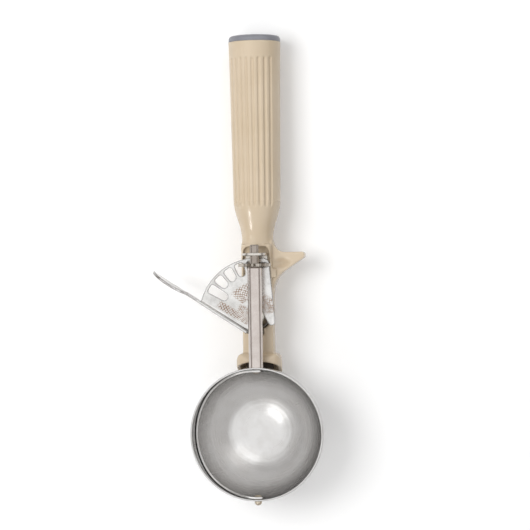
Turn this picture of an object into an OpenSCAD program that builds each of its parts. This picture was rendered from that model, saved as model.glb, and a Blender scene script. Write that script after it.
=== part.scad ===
// Lever ice cream scoop. A thumb lever turns a windowed sector plate, the plate turns a toothed pinion,
// and the pinion's shaft sweeps a curved scraper blade through the bowl.
//
// Working frame: centre of the bowl on the drive shaft's axis, +Y up the handle, +Z out of the bowl's
// mouth, +X to the side of the finger hook. placed() moves this frame so that the origin ends up under
// the middle of the whole scoop. Lengths are in millimetres.

/* [Bowl] */
// Inner radius of the bowl
bowl_inner_r = 32.6; // [30:0.1:35]
// Sheet thickness of the bowl
bowl_wall = 0.8; // [0.6:0.1:1.2]
// Height of the rim above the drive shaft's axis
rim_height = 3.2; // [3:0.1:5]

/* [Scraper blade] */
// Sheet thickness of the blade
blade_t = 0.9; // [0.6:0.1:1.2]
// Width of the blade at mid length
blade_w = 12.4; // [8:0.1:16]
// Radius of the round tab at each end of the blade
blade_tab_r = 3.6; // [3.4:0.1:4.2]
// Angle of the blade's middle below the rim side at rest
blade_rest_angle = 21; // [16:0.5:30]
// Gap between blade and bowl
blade_gap = 0.4; // [0.3:0.05:0.6]

/* [Drive shaft] */
// Diameter of the drive shaft
shaft_d = 4.5; // [4:0.1:5]
// Outer diameter of the sleeve
sleeve_d = 7.2; // [6.6:0.1:7.6]
// Length of shaft that stands out beyond the bearing ear
shaft_tail = 4.2; // [2:0.1:6]

/* [Sector lever] */
// Distance from the bowl to the lever's pivot
pivot_from_bowl = 25.35; // [24:0.05:32]
// Distance from the pivot to the middle of the pinion
pinion_reach = 25.65; // [25:0.05:27]
// Thickness of the lever's sheet
plate_t = 1.2; // [1:0.1:1.4]
// Rim of metal outside the reach of the pinion
plate_rim = 3.65; // [3.4:0.05:4.4]
// Distance from the pivot to the bent flange
flange_offset = 9.2; // [8.8:0.1:10]
// Direction of flange and thumb arm at rest, anticlockwise from the hook side
flange_angle = 146.9; // [140:0.1:150]
// Height of the bent flange above the plate
flange_h = 5.6; // [4:0.1:6]
// Distance along the arm from the pivot's foot to the end of the thumb pad
pad_reach = 56.1; // [50:0.1:66]
// Length of the thumb pad
pad_l = 20.6; // [16:0.1:22]
// Width of the thumb pad
pad_w = 12.6; // [8:0.1:16]
// Travel of the lever
lever_travel = 50; // [30:1:50]

/* [Pinion] */
// Width of the pinion along the shaft
pinion_w = 1.6; // [1:0.1:2]
// Width of a tooth at its tip
tooth_tip_w = 1.5; // [1:0.1:1.8]
// Width of a tooth at its root
tooth_root_w = 3.0; // [2.4:0.1:3.2]

/* [Spring] */
// Wire diameter of the return spring
wire_d = 1.1; // [0.8:0.1:1.2]
// Radius of the coil, to the middle of the wire
coil_r = 5.9; // [5:0.1:6]
// Full turns in the coil
coil_turns = 2; // [1:1:2]

/* [Handle] */
// Depth of the handle's axis below the drive shaft's axis
handle_drop = 14; // [13.6:0.1:15]
// Width of the spine
spine_w = 15.6; // [15.2:0.1:17]
// Depth of the spine's back below the handle's axis
spine_back = 7.5; // [7:0.1:8.5]
// Radius of the neck
neck_r = 7.9; // [7.4:0.1:8.6]
// Radius at the lower end of the grip
grip_low_r = 11.85; // [10.5:0.05:13]
// Radius at the upper end of the grip
grip_top_r = 12.9; // [11.5:0.1:14]
// Length of the shoulder between neck and grip
shoulder_l = 19.5; // [14:0.5:26]
// Length of the grip above the shoulder
grip_l = 79.9; // [60:0.1:100]
// Number of flutes on each face of the grip
flutes = 8; // [4:1:9]
// Distance between two flutes round the grip
flute_pitch = 3; // [2.6:0.1:3.2]
// Depth of a flute
flute_depth = 0.55; // [0.3:0.05:0.7]
// Turn of the rows of flutes round the grip, towards the lever's side
flute_turn = 6; // [0:0.5:8]
// Width of the bell collar
collar_w = 22.7; // [20:0.1:26]
// Reach of the finger hook from the handle's axis
hook_reach = 24.1; // [20:0.1:28]
// Thickness of the finger hook
hook_t = 8.8; // [6:0.1:9.6]
// Thickness of the end cap
cap_t = 3; // [2:0.1:4]

/* [Shank] */
// Width of the shank where it meets the bowl
shank_head_w = 13.6; // [10:0.1:14]
// Width of the shank inside the spine
shank_w = 9; // [8:0.1:10]
// Thickness of the shank
shank_t = 2.5; // [2:0.1:3]

/* [Hidden] */
$fn = 96;

// Colours
handle_beige = "#d9c8ae";
cap_grey = "#85858b";
bowl_steel = "#c4c4c2";
bright_steel = "#d6d4d0";
dark_steel = "#8d8a86";

// Fits and seats
eps = 0.01;
weld_gap = 0.02;         // faces of one body that are welded or seated on a curve
seat_gap = 0.05;         // flat and round seats of one body
run_gap = 0.05;          // radial clearance of a pin or shaft that turns
side_gap = 0.1;          // clearance beside a piece that turns
free_gap = 0.3;          // between a moving piece and what it passes

// Bowl and blade
bowl_outer_r = bowl_inner_r + bowl_wall;
blade_outer_r = bowl_inner_r - blade_gap;
blade_inner_r = blade_outer_r - blade_t;
shaft_neck_d = shaft_d - 1.5;    // spigot on the shaft that carries the blade
rivet_head_h = 0.9;
washer_t = 0.4;
tip_pin_d = 2.6;
tip_head_d = 3.8;
tip_head_h = 2.2;
tip_head_inner_r = tip_pin_d / 2 + 0.9;

// Stations along the handle
pivot_y = bowl_outer_r + pivot_from_bowl;
pinion_y = pivot_y + pinion_reach;
sleeve_end_y = pinion_y - pinion_w / 2 - free_gap;
ear_step = 3.95;                 // shaft that shows between pinion and ear
ear_t = 1.25;
ear_y = pinion_y + pinion_w / 2 + ear_step;
shaft_end_y = ear_y + ear_t + shaft_tail;
recess_run = 3.4;                // recess beyond the ear
recess_end_y = ear_y + ear_t + recess_run;
neck_y = recess_end_y + 3.7;     // end of the straight neck, start of the shoulder
grip_y = neck_y + shoulder_l;
grip_end_y = grip_y + grip_l;
cap_end_y = grip_end_y + cap_t;

// Mesh of windows and teeth: 27 windows would fill a full turn of the plate
windows_per_turn = 27;
window_count = 5;
pinion_teeth = 8;
window_pitch = 360 / windows_per_turn;
first_window = 5.4;              // angle from the first window to the pinion at rest
mesh_r = pinion_reach * pinion_teeth / windows_per_turn;
drive_ratio = windows_per_turn / pinion_teeth;
tooth_reach = 0.5;               // tooth tip beyond the mesh radius
pinion_tip_r = mesh_r + tooth_reach;
pinion_root_r = mesh_r - 2.1;
plate_r = pinion_reach + plate_rim;
far = 2 * plate_r;               // longer than the lever and its cuts need

// Levels below the shaft's axis
plate_z = -mesh_r + 0.5;
plate_top = plate_z + plate_t / 2;
plate_bottom = plate_z - plate_t / 2;
bracket_t = 1;
bracket_top = plate_bottom - 0.7;
spine_top = bracket_top - bracket_t;
spine_bottom = -handle_drop - spine_back;
lip_top = plate_top + 0.3;
recess_half = spine_w / 2 - 1.2; // half the width of the recess for the bearing ear
well_depth = 4;
well_floor = spine_top - well_depth;
well_r = coil_r + wire_d / 2 + 0.5;
shank_top = well_floor - 0.7;
shank_bottom = shank_top - shank_t;

// Pivot
pivot_d = 4;
pivot_head_d = 7;
pivot_head_h = 1.1;
bush_d = 6.8;
back_head_d = 6.6;
back_washer_d = 9;

// Collar
collar_top = -sleeve_d / 2 - 1.4;
collar_bottom = spine_bottom - 1;
collar_shoulder = 4.35;
collar_y = bowl_outer_r + 2.4;   // where the collar's shoulders start to round
collar_wall = 2;
collar_clear = 2.85;             // collar to bowl
collar_pocket_y = collar_y + 2.2;

// Hook
hook_y = ear_y + ear_t + 0.4;    // upper edge of the hook
hook_drop = 3.4;                 // height of the hook's tip
hook_slope = 31;                 // slope of its lower edge
hook_fillet = 14;
hook_neck_fillet = 6;

// Guide block under the sector plate
guide_size = [3.2, 4.4];
guide_below = 6.3;               // foot of the block below the pinion

// Grip
flute_end_low = -2.5;            // the flutes run out on the shoulder
flute_end_high = 8;              // plain band above them
flute_r = 1.05;
grip_flare = 0.25;               // the plain band widens by this towards the cap
socket_r = 9;
socket_l = 10;

// Places of the rivets of the bearing bracket, above the pivot
bracket_rivet_steps = [12.3, 19.8];
bracket_rivet_d = 2.4;

// Middle of the whole scoop
arm_dir = [cos(flange_angle), sin(flange_angle)];
foot_dir = [cos(flange_angle + 90), sin(flange_angle + 90)];
pad_tip_x = pad_reach * arm_dir[0] + (flange_offset + plate_t / 2) * foot_dir[0];
low_y = -bowl_outer_r - tip_head_h;
middle = [(pad_tip_x + bowl_outer_r) / 2, (low_y + cap_end_y) / 2, -bowl_outer_r];

module placed() translate(-middle) children();

// Turns a shape drawn along +Z so that it runs along +Y; its own +Y then points down, to -Z
module along_y() rotate([-90, 0, 0]) children();

// Rod or disc along the Y axis from y0 to y1
module rod_y(r, y0, y1) translate([0, y0, 0]) along_y() cylinder(r = r, h = y1 - y0);

// Shape at the pivot, drawn about its axis with z as height
module at_pivot(z = 0) translate([0, pivot_y, z]) children();

// Section drawn in x and z, extruded from y0 to y1
module section_y(y0, y1) translate([0, y0, 0]) along_y() linear_extrude(y1 - y0) mirror([0, 1]) children();

// Outline drawn in y and z, extruded over the width w about x = 0
module section_x(w) rotate([90, 0, 90]) translate([0, 0, -w / 2]) linear_extrude(w) children();

// Points of an arc
function arc(c, r, a0, a1, n = 12) =
    [for (i = [0:n]) c + r * [cos(a0 + (a1 - a0) * i / n), sin(a0 + (a1 - a0) * i / n)]];

// Eases from 0 to 1
function ease(t) = (1 - cos(180 * t)) / 2;

// Rectangle with one radius on its lower corners and another on its upper ones
module soft_rect(w, lo, hi, r_lo, r_hi) {
    translate([-w / 2, lo + r_lo]) square([w, hi - lo - r_lo - r_hi]);
    for (side = [-1, 1]) {
        translate([side * (w / 2 - r_lo), lo + r_lo]) circle(r = r_lo);
        translate([side * (w / 2 - r_hi), hi - r_hi]) circle(r = r_hi);
    }
    translate([-w / 2 + r_lo, lo]) square([w - 2 * r_lo, r_lo]);
    translate([-w / 2 + r_hi, hi - r_hi]) square([w - 2 * r_hi, r_hi]);
}

// Domed head of radius r and height h on z = 0
module dome(r, h) {
    ball_r = (r * r + h * h) / (2 * h);
    intersection() {
        translate([0, 0, h - ball_r]) sphere(r = ball_r);
        cylinder(r = r, h = h);
    }
}

// ---------------------------------------------------------------- handle

function grip_radius(y) = grip_low_r + (grip_top_r - grip_low_r) * (y - grip_y) / (grip_l - flute_end_high);
grip_slope = atan((grip_top_r - grip_low_r) / (grip_l - flute_end_high));

// Grip, shoulder and neck as one turned form
module grip_form() {
    shoulder_steps = 10;
    shoulder = [for (i = [0:shoulder_steps])
        [neck_r + (grip_low_r - neck_r) * ease(i / shoulder_steps),
         neck_y + shoulder_l * i / shoulder_steps]];
    translate([0, 0, -handle_drop]) along_y()
        rotate_extrude() polygon(concat(
            [[0, recess_end_y - 2], [neck_r, recess_end_y - 2]],
            shoulder,
            [[grip_top_r, grip_end_y - flute_end_high], [grip_top_r + grip_flare, grip_end_y], [0, grip_end_y]]));
}

// One flute: a groove that follows the grip's taper and runs out round at both ends
module flute(angle) {
    low = grip_y + flute_end_low;
    length = grip_l - flute_end_low - flute_end_high - 1;
    translate([0, 0, -handle_drop]) rotate([0, angle, 0])
        translate([0, low, grip_radius(low) + flute_r - flute_depth])
            rotate([grip_slope, 0, 0]) {
                rod_y(flute_r, 0, length);
                sphere(r = flute_r);
                translate([0, length, 0]) sphere(r = flute_r);
            }
}

module flute_rows() {
    step = flute_pitch / grip_low_r * 180 / PI;
    for (face = [0, 180])
        for (i = [0:flutes - 1])
            flute(face - flute_turn + (i - (flutes - 1) / 2) * step);
}

module spine_form()
    section_y(bowl_outer_r, recess_end_y + 2)
        soft_rect(spine_w, spine_bottom, spine_top, 5, 1);

// Low wall round the recess in which the bearing ear stands
module lip_form()
    section_y(pivot_y, recess_end_y + 1)
        soft_rect(spine_w - 0.2, -handle_drop, lip_top, 1, 2.4);

module hook_outline() {
    inner_x = recess_half;           // stays out of the recess, inside the spine's side
    root_x = spine_w / 2 + 0.2;
    lower_c = [root_x + hook_fillet, hook_y - 20.9];
    upper_c = [root_x + hook_neck_fillet, hook_y + hook_neck_fillet];
    tip_r = 1.4;
    polygon(concat(
        [[inner_x, lower_c[1]]],
        arc(lower_c, hook_fillet, 180, 90 + hook_slope),
        arc([hook_reach - tip_r, hook_y - hook_drop + tip_r], tip_r, hook_slope - 90, 0, 6),
        arc([hook_reach - tip_r, hook_y - tip_r], tip_r, 0, 90, 6),
        arc(upper_c, hook_neck_fillet, 270, 180),
        [[inner_x, upper_c[1]]]));
}

// Finger hook: a web with a concave lower edge and a fully rounded finger rest
module hook_form()
    intersection() {
        translate([0, 0, -handle_drop - hook_t / 2]) linear_extrude(hook_t) hook_outline();
        section_x(4 * hook_reach) {
            translate([pivot_y, -handle_drop - hook_t / 2]) square([hook_y - pivot_y - hook_t / 2, hook_t]);
            translate([hook_y - hook_t / 2, -handle_drop]) circle(r = hook_t / 2);
            translate([hook_y - hook_t / 2, -handle_drop - neck_r / 2]) square([20, neck_r]);
        }
    }

// Guide under the sector plate, beside the bracket
module guide_block()
    translate([recess_half, pinion_y - guide_below, -handle_drop])
        cube([guide_size[0], guide_size[1], plate_bottom - free_gap + handle_drop]);

// Bell-shaped collar round the shank
module collar_form() {
    core = collar_w / 2 - collar_shoulder;
    intersection() {
        section_y(0, collar_y + collar_shoulder)
            soft_rect(collar_w, collar_bottom, collar_top, 7.4, 7);
        translate([0, 0, collar_bottom]) linear_extrude(collar_top - collar_bottom) {
            translate([-collar_w / 2, 0]) square([collar_w, collar_y]);
            translate([-core, 0]) square([2 * core, collar_y + collar_shoulder]);
            for (side = [-1, 1]) translate([side * core, collar_y]) circle(r = collar_shoulder);
        }
        section_x(2 * collar_w) {
            translate([0, collar_bottom]) square([collar_y, collar_top - collar_bottom]);
            translate([0, collar_bottom + collar_shoulder])
                square([collar_y + collar_shoulder, collar_top - collar_bottom - 2 * collar_shoulder]);
            translate([collar_y, collar_bottom + collar_shoulder]) circle(r = collar_shoulder);
            translate([collar_y, collar_top - collar_shoulder]) circle(r = collar_shoulder);
        }
    }
}

module collar_pocket()
    section_y(0, collar_pocket_y)
        soft_rect(collar_w - 2 * collar_wall, collar_bottom + collar_wall, collar_top - collar_wall, 5.4, 5);

// Recess for the bearing ear and its base: round corners seen from above, and a floor that scoops up
// behind the ear
module ear_recess() {
    corner = 3.2;
    core = recess_half - corner;
    scoop_y = ear_y + ear_t;
    intersection() {
        translate([0, 0, spine_top]) linear_extrude(-spine_top) {
            translate([-recess_half, pivot_y]) square([2 * recess_half, recess_end_y - corner - pivot_y]);
            translate([-core, pivot_y]) square([2 * core, recess_end_y - pivot_y]);
            for (side = [-1, 1]) translate([side * core, recess_end_y - corner]) circle(r = corner);
        }
        section_x(2 * spine_w)
            polygon(concat(
                [[pivot_y - 1, -spine_top], [pivot_y - 1, spine_top]],
                arc([scoop_y, spine_top + recess_run], recess_run, 270, 360, 8),
                [[recess_end_y, -spine_top]]));
    }
}

// Room for the sector plate's sweep, on the pinion's side of the pivot
module plate_sweep()
    intersection() {
        at_pivot(plate_bottom - free_gap) cylinder(r = plate_r + 0.45, h = handle_drop);
        translate([-far, pivot_y, -handle_drop]) cube([2 * far, far, handle_drop]);
    }

module spring_well() {
    at_pivot(well_floor) cylinder(r = well_r, h = handle_drop);
    at_pivot() rotate(spring_leg_angle)
        translate([0, -wire_d / 2 - 0.2, leg_z - wire_d / 2 - 0.2])
            cube([leg_r + wire_d, wire_d + 0.4, handle_drop]);
}

module shank_slot() {
    translate([-shank_w / 2 - seat_gap, 0, shank_bottom - seat_gap])
        cube([shank_w + 2 * seat_gap, shank_end_y + seat_gap, shank_t + 2 * seat_gap]);
}

module handle() color(handle_beige) placed() difference() {
    union() {
        difference() {
            union() {
                grip_form();
                lip_form();
            }
            plate_sweep();
            ear_recess();
        }
        spine_form();
        hook_form();
        guide_block();
        collar_form();
    }
    flute_rows();
    spring_well();
    at_pivot(spine_bottom - 1) cylinder(d = pivot_d + 2 * seat_gap, h = handle_drop);
    for (step = bracket_rivet_steps)
        at_pivot(spine_top - rivet_stem_l - seat_gap) translate([0, step, 0])
            cylinder(d = bracket_rivet_d + 2 * seat_gap, h = handle_drop);
    shank_slot();
    sphere(r = bowl_outer_r + collar_clear);
    collar_pocket();
    translate([0, 0, -handle_drop]) rod_y(socket_r, grip_end_y - socket_l, grip_end_y + 1);
}

module end_cap() color(cap_grey) placed() translate([0, 0, -handle_drop]) along_y() {
    edge = 1.8;
    face_r = grip_top_r + grip_flare - 0.1;
    rotate_extrude() polygon(concat(
        [[0, grip_end_y], [face_r, grip_end_y]],
        arc([face_r - edge, cap_end_y - edge], edge, 0, 90, 6),
        [[0, cap_end_y]]));
    translate([0, 0, grip_end_y - socket_l + 0.5]) difference() {
        cylinder(r = socket_r - seat_gap, h = socket_l);
        translate([0, 0, -1]) cylinder(r = socket_r - 2, h = socket_l - 0.5);
    }
}

// ---------------------------------------------------------------- bowl and shank

module bowl() color(bowl_steel) placed() difference() {
    sphere(r = bowl_outer_r, $fn = 180);
    sphere(r = bowl_inner_r, $fn = 180);
    translate([0, 0, rim_height + bowl_outer_r]) cube(2 * bowl_outer_r, center = true);
    rod_y(shaft_d / 2 + run_gap, 0, bowl_outer_r + 1);
    rod_y(tip_pin_d / 2 + weld_gap, -bowl_outer_r - 1, 0);
}

shank_end_y = pivot_y + 9;

module bowl_shank() color(bright_steel) placed() difference() {
    translate([0, 0, shank_bottom]) linear_extrude(shank_t) {
        translate([-shank_head_w / 2, 0]) square([shank_head_w, collar_pocket_y - 0.6]);
        translate([-shank_w / 2, 0]) square([shank_w, shank_end_y - shank_w / 2]);
        translate([0, shank_end_y - shank_w / 2]) circle(d = shank_w);
    }
    sphere(r = bowl_outer_r + weld_gap, $fn = 180);
    at_pivot(shank_bottom - 1) cylinder(d = pivot_d + 2 * seat_gap, h = shank_t + 2);
}

// ---------------------------------------------------------------- sleeve, bracket and rivets

module shaft_sleeve() color(bright_steel) placed() difference() {
    chamfer = 0.5;
    r = sleeve_d / 2;
    along_y() rotate_extrude() polygon([
        [0, bowl_inner_r - 2], [r, bowl_inner_r - 2], [r, sleeve_end_y - chamfer],
        [r - chamfer, sleeve_end_y], [0, sleeve_end_y]]);
    sphere(r = bowl_outer_r + weld_gap, $fn = 180);
    rod_y(shaft_d / 2 + run_gap, 0, sleeve_end_y + 1);
}

ear_r = spine_w / 2 - 1.7;
base_half_w = ear_r - 0.6;

module bearing_bracket() color(bright_steel) placed() difference() {
    union() {
        translate([-base_half_w, pivot_y + well_r + 1.2, spine_top])
            cube([2 * base_half_w, ear_y + ear_t - pivot_y - well_r - 1.2, bracket_t]);
        section_y(ear_y, ear_y + ear_t) {
            translate([-base_half_w, spine_top]) square([2 * base_half_w, -spine_top]);
            circle(r = ear_r);
        }
    }
    rod_y(shaft_d / 2 + run_gap, ear_y - 1, ear_y + ear_t + 1);
    // opening that the pinion's teeth dip into
    translate([-4.4, pinion_y - pinion_w / 2 - 0.7, spine_top - 1])
        cube([8.8, pinion_w + 1.4, bracket_t + 2]);
    for (step = bracket_rivet_steps)
        at_pivot(spine_top) translate([0, step, 0]) {
            translate([0, 0, -1]) cylinder(d = bracket_rivet_d + 2 * seat_gap, h = bracket_t + 2);
            rivet_cone(seat_gap);
        }
}

rivet_stem_l = 5;

// Countersunk head in the bracket, with its top flush
module rivet_cone(gap = 0) {
    wide = bracket_rivet_d / 2 + bracket_t + gap;
    translate([0, 0, gap > 0 ? -eps : 0])
        cylinder(r1 = bracket_rivet_d / 2 + gap, r2 = wide, h = bracket_t + (gap > 0 ? 2 * eps : 0));
}

module bracket_rivets() color(dark_steel) placed()
    for (step = bracket_rivet_steps)
        at_pivot(spine_top) translate([0, step, 0]) {
            rivet_cone();
            translate([0, 0, -rivet_stem_l]) cylinder(d = bracket_rivet_d, h = rivet_stem_l + eps);
        }

// ---------------------------------------------------------------- pivot

pivot_head_z = plate_top + side_gap + washer_t;
back_face_z = spine_bottom - washer_t;

module pivot_rivet() color(bright_steel) placed() at_pivot() {
    translate([0, 0, pivot_head_z]) dome(pivot_head_d / 2, pivot_head_h);
    translate([0, 0, back_face_z - eps]) cylinder(d = pivot_d, h = pivot_head_z - back_face_z + 2 * eps);
    translate([0, 0, back_face_z]) mirror([0, 0, 1]) dome(back_head_d / 2, 1.2);
}

module ring(outer_d, inner_d, h) difference() {
    cylinder(d = outer_d, h = h);
    translate([0, 0, -1]) cylinder(d = inner_d, h = h + 2);
}

module pivot_washer() color(dark_steel) placed()
    at_pivot(plate_top + side_gap) ring(pivot_head_d + 0.8, pivot_d + 2 * seat_gap, washer_t);

module back_washer() color(dark_steel) placed()
    at_pivot(back_face_z) ring(back_washer_d, pivot_d + 2 * seat_gap, washer_t);

module lever_bush() color(dark_steel) placed() difference() {
    bush_bottom = well_floor + 0.2;
    at_pivot(bush_bottom) ring(bush_d, pivot_d + 2 * run_gap, plate_bottom - bush_bottom);
    // notch that takes the inner end of the spring
    at_pivot(bush_bottom - 1) rotate(coil_start_angle)
        translate([pivot_d / 2 + 0.5, -wire_d / 2 - 0.15, 0]) cube([bush_d, wire_d + 0.3, wire_d + 1.4]);
}

// ---------------------------------------------------------------- spring

coil_low_z = well_floor + wire_d / 2 + 0.1;
leg_z = spine_top - wire_d / 2 - 0.1;
spring_leg_angle = -74.5;
leg_r = coil_r + 3;
coil_start_angle = spring_leg_angle;
coil_ring_steps = 22;
coil_steps = coil_turns * coil_ring_steps;
inner_leg_r = pivot_d / 2 + 0.9;
wire_sides = 8;

function polar(r, a, z) = [r * cos(a), r * sin(a), z];

// Middle line of the wire: radial inner end, coil, radial outer leg and its upturned tip
spring_path = concat(
    [polar(inner_leg_r, coil_start_angle, coil_low_z)],
    [for (i = [0:coil_steps])
        polar(i == 0 || i == coil_steps ? coil_r - (i == 0 ? 0.5 : -0.5) : coil_r,
              coil_start_angle + 360 * coil_turns * i / coil_steps,
              coil_low_z + (leg_z - coil_low_z) * i / coil_steps)],
    [polar(leg_r - 0.4, spring_leg_angle, leg_z),
     polar(leg_r, spring_leg_angle, leg_z + 0.5),
     polar(leg_r, spring_leg_angle, spine_top + 0.5)]);

function unit(v) = v / norm(v);
function heading(p, i) = unit(p[min(i + 1, len(p) - 1)] - p[max(i - 1, 0)]);

// Two directions across a heading, the first one level
function across(h) = norm(cross(h, [0, 0, 1])) > 0.2 ? unit(cross(h, [0, 0, 1]))
    : unit([-sin(spring_leg_angle), cos(spring_leg_angle), 0]) * -1;
function wire_ring(p, i) =
    let (h = heading(p, i), a = across(h), b = unit(cross(a, h)))
        [for (k = [0:wire_sides - 1])
            p[i] + wire_d / 2 * (a * cos(360 * k / wire_sides) + b * sin(360 * k / wire_sides))];

module wire(p) {
    n = len(p);
    points = [for (i = [0:n - 1]) each wire_ring(p, i)];
    sides = [for (i = [0:n - 2]) for (k = [0:wire_sides - 1])
        let (a = i * wire_sides + k, b = i * wire_sides + (k + 1) % wire_sides)
            [a, b, b + wire_sides, a + wire_sides]];
    first = [[for (k = [wire_sides - 1:-1:0]) k]];
    last = [[for (k = [0:wire_sides - 1]) (n - 1) * wire_sides + k]];
    polyhedron(points, concat(sides, first, last));
}

module return_spring() color(dark_steel) placed() at_pivot() wire(spring_path);

// ---------------------------------------------------------------- sector lever

// Window for one tooth: two outer corners and one rounded inner end, drawn about the pivot. The straight
// sides start a hair inside the circles, so that they cross them clearly.
module window(inner_y, inner_r) {
    corner_r = 1.4;
    half = 2.35 - corner_r;
    outer_y = pinion_reach + 0.95;
    d = [half, outer_y - inner_y];
    a = atan2(d[1], d[0]) - acos((inner_r - corner_r) / norm(d));
    n = [cos(a), sin(a)];
    for (side = [0, 1]) mirror([side, 0]) {
        translate([half, outer_y]) circle(r = corner_r);
        polygon([[0, inner_y], [0, inner_y] + (inner_r - eps) * n, [half, outer_y] + (corner_r - eps) * n,
                 [half, outer_y + corner_r - eps], [0, outer_y + corner_r - eps]]);
    }
    translate([0, inner_y]) circle(r = inner_r);
}

// Short slot beside the first window, for the tooth that is just leaving the plate at rest
module relief_slot() {
    corner_r = 0.8;
    half = [2.2 - corner_r, 1.2 - corner_r];
    translate([pinion_reach * sin(window_pitch - first_window), pinion_reach]) {
        square([2 * half[0], 2 * (half[1] + corner_r)], center = true);
        square([2 * (half[0] + corner_r), 2 * half[1]], center = true);
        for (x = [-1, 1]) for (y = [-1, 1]) translate([x * half[0], y * half[1]]) circle(r = corner_r);
    }
}

module window_rows() {
    for (i = [0:window_count - 1])
        rotate(first_window + i * window_pitch)
            if (i < window_count - 1) window(pinion_reach - 2.5, 2);
            else window(pinion_reach - 6.3, 2);
    relief_slot();
}

bend_r = 0.8;                     // inner radius of the flange's bend
bend_v = flange_offset + plate_t / 2 - plate_t - bend_r;
arm_lap = 0.3;                    // overlap of the bent edge and the arm
flange_start = -0.6;
flange_end = sqrt(plate_r * plate_r - flange_offset * flange_offset);

// From arm coordinates (along the arm, away from the pivot) to the plate's own x and y
function arm_point(u, v) = u * arm_dir + v * foot_dir;

module plate_outline() {
    hub_r = 3.6;
    tail_r = 1.7;
    corner_r = 2.8;
    corner_dir = [sin(8.25), cos(8.25)];
    corner = (plate_r - corner_r - 0.15) * corner_dir;
    corner_start = corner + (corner_r - eps) * [cos(60), sin(60)];
    difference() {
        union() {
            intersection() {
                circle(r = plate_r, $fn = 180);
                polygon([
                    arm_point(flange_start, 1.5 * flange_offset), arm_point(2 * plate_r, 1.5 * flange_offset),
                    [-1.4 * plate_r, 1.4 * plate_r], corner_start + plate_r * [-sin(60), cos(60)] / 2,
                    corner_start, corner, corner + (corner_r - eps) * [cos(5), sin(5)],
                    [9.05, -1.6], [8.8, -3.2], [6.0, -4.1], [3.0, 1.4], [3.0, -1], [0, -hub_r]]);
            }
            translate([7.4, -3.0]) circle(r = tail_r);
            translate(corner) circle(r = corner_r);
            circle(r = hub_r);
        }
        window_rows();
    }
}

// Flange, arm and thumb pad seen square on: u along the arm, z up
module arm_outline() {
    pad_z = plate_z + 2.8;
    root = pad_reach - pad_l;
    neck = 2.3;
    steps = 12;
    low = [for (i = [0:steps]) let (t = i / steps)
        [root + pad_l * t, pad_z - max(neck * (1 - t), pad_w / 2 * pow(sin(180 * pow(t, 0.95)), 0.62))]];
    high = [for (i = [steps - 1:-1:0]) [low[i][0], 2 * pad_z - low[i][1]]];
    polygon(concat(
        [[flange_start, plate_top + bend_r + arm_lap], [flange_end - 3, plate_top + bend_r + arm_lap],
         [flange_end, pad_z - neck]],
        low, high,
        [[flange_end + 2, pad_z + neck], [flange_end - 8, plate_top + flange_h],
         [flange_start, plate_top + flange_h]]));
}

// Sheet in which arm and pad lie: straight along the flange, slightly bowed along the pad
module arm_sheet() {
    root = pad_reach - pad_l;
    bow_r = 70;
    bow_v = flange_offset - sqrt(bow_r * bow_r - pad_l * pad_l / 4);
    translate([flange_start, flange_offset - plate_t / 2, -far])
        cube([root + 1 - flange_start, plate_t, 2 * far]);
    intersection() {
        translate([root + pad_l / 2, bow_v, -far])
            ring(2 * bow_r + plate_t, 2 * bow_r - plate_t, 2 * far, $fn = 360);
        translate([root + 0.5, 0, -far]) cube([pad_l, far, 2 * far]);
    }
}

// Quarter of a disc with a strip on each of its straight sides, as far as the bend's own axis
module bend_corner(r, low, high) {
    intersection() {
        circle(r = r);
        translate([0, -r]) square(r);
    }
    translate([-low, -r]) square([low, r + high]);
    square([r, high]);
}

// Sheet of the plate with its edge bent up to where the arm's outline starts
module bent_sheet() rotate([90, 0, 90])
    translate([0, 0, -far]) linear_extrude(2 * far)
        translate([bend_v, plate_top + bend_r]) difference() {
            bend_corner(bend_r + plate_t, far, 2 * arm_lap);
            bend_corner(bend_r, far + 1, 2 * arm_lap + 1);
        }

module sector_lever() color(bright_steel) placed() at_pivot() {
    difference() {
        union() {
            intersection() {
                rotate(flange_angle) bent_sheet();
                translate([0, 0, plate_bottom - 1]) linear_extrude(plate_t + flange_h) plate_outline();
            }
            rotate(flange_angle) intersection() {
                arm_sheet();
                translate([0, far, 0]) rotate([90, 0, 0]) linear_extrude(far) arm_outline();
            }
        }
        translate([0, 0, plate_bottom - 1]) cylinder(d = pivot_d + 2 * run_gap, h = plate_t + 2);
    }
}

// ---------------------------------------------------------------- shaft, pinion and blade

// A flat piece of radius r against the inside of a ball of radius ball_r stops at this height
function ball_seat(ball_r, r) = sqrt(ball_r * ball_r - r * r) - weld_gap;

spigot_y = blade_outer_r + eps;
washer_r = shaft_neck_d / 2 + 1.3;
blade_seat_y = ball_seat(blade_inner_r, washer_r);

module drive_shaft() color(bright_steel) placed() {
    chamfer = 0.4;
    head_y = blade_seat_y - washer_t;
    rod_y(shaft_d / 2, spigot_y, shaft_end_y - chamfer);
    translate([0, shaft_end_y - chamfer, 0]) along_y()
        cylinder(r1 = shaft_d / 2, r2 = shaft_d / 2 - chamfer, h = chamfer);
    rod_y(shaft_neck_d / 2, head_y - eps, spigot_y + eps);
    translate([0, head_y, 0]) rotate([90, 0, 0]) dome(shaft_neck_d / 2 + 0.9, rivet_head_h);
}

module tooth() intersection() {
    circle(r = pinion_tip_r);
    polygon([
        [-tooth_root_w / 2, 0], [-tooth_root_w / 2, pinion_root_r], [-tooth_tip_w / 2, pinion_tip_r + 1],
        [tooth_tip_w / 2, pinion_tip_r + 1], [tooth_root_w / 2, pinion_root_r], [tooth_root_w / 2, 0]]);
}

module pinion() color(dark_steel) placed()
    translate([0, pinion_y - pinion_w / 2, 0]) along_y() linear_extrude(pinion_w) difference() {
        union() {
            circle(r = pinion_root_r);
            for (i = [0:pinion_teeth - 1])
                rotate(first_window * drive_ratio + i * 360 / pinion_teeth) tooth();
        }
        circle(d = shaft_d + 2 * weld_gap);
    }

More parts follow.
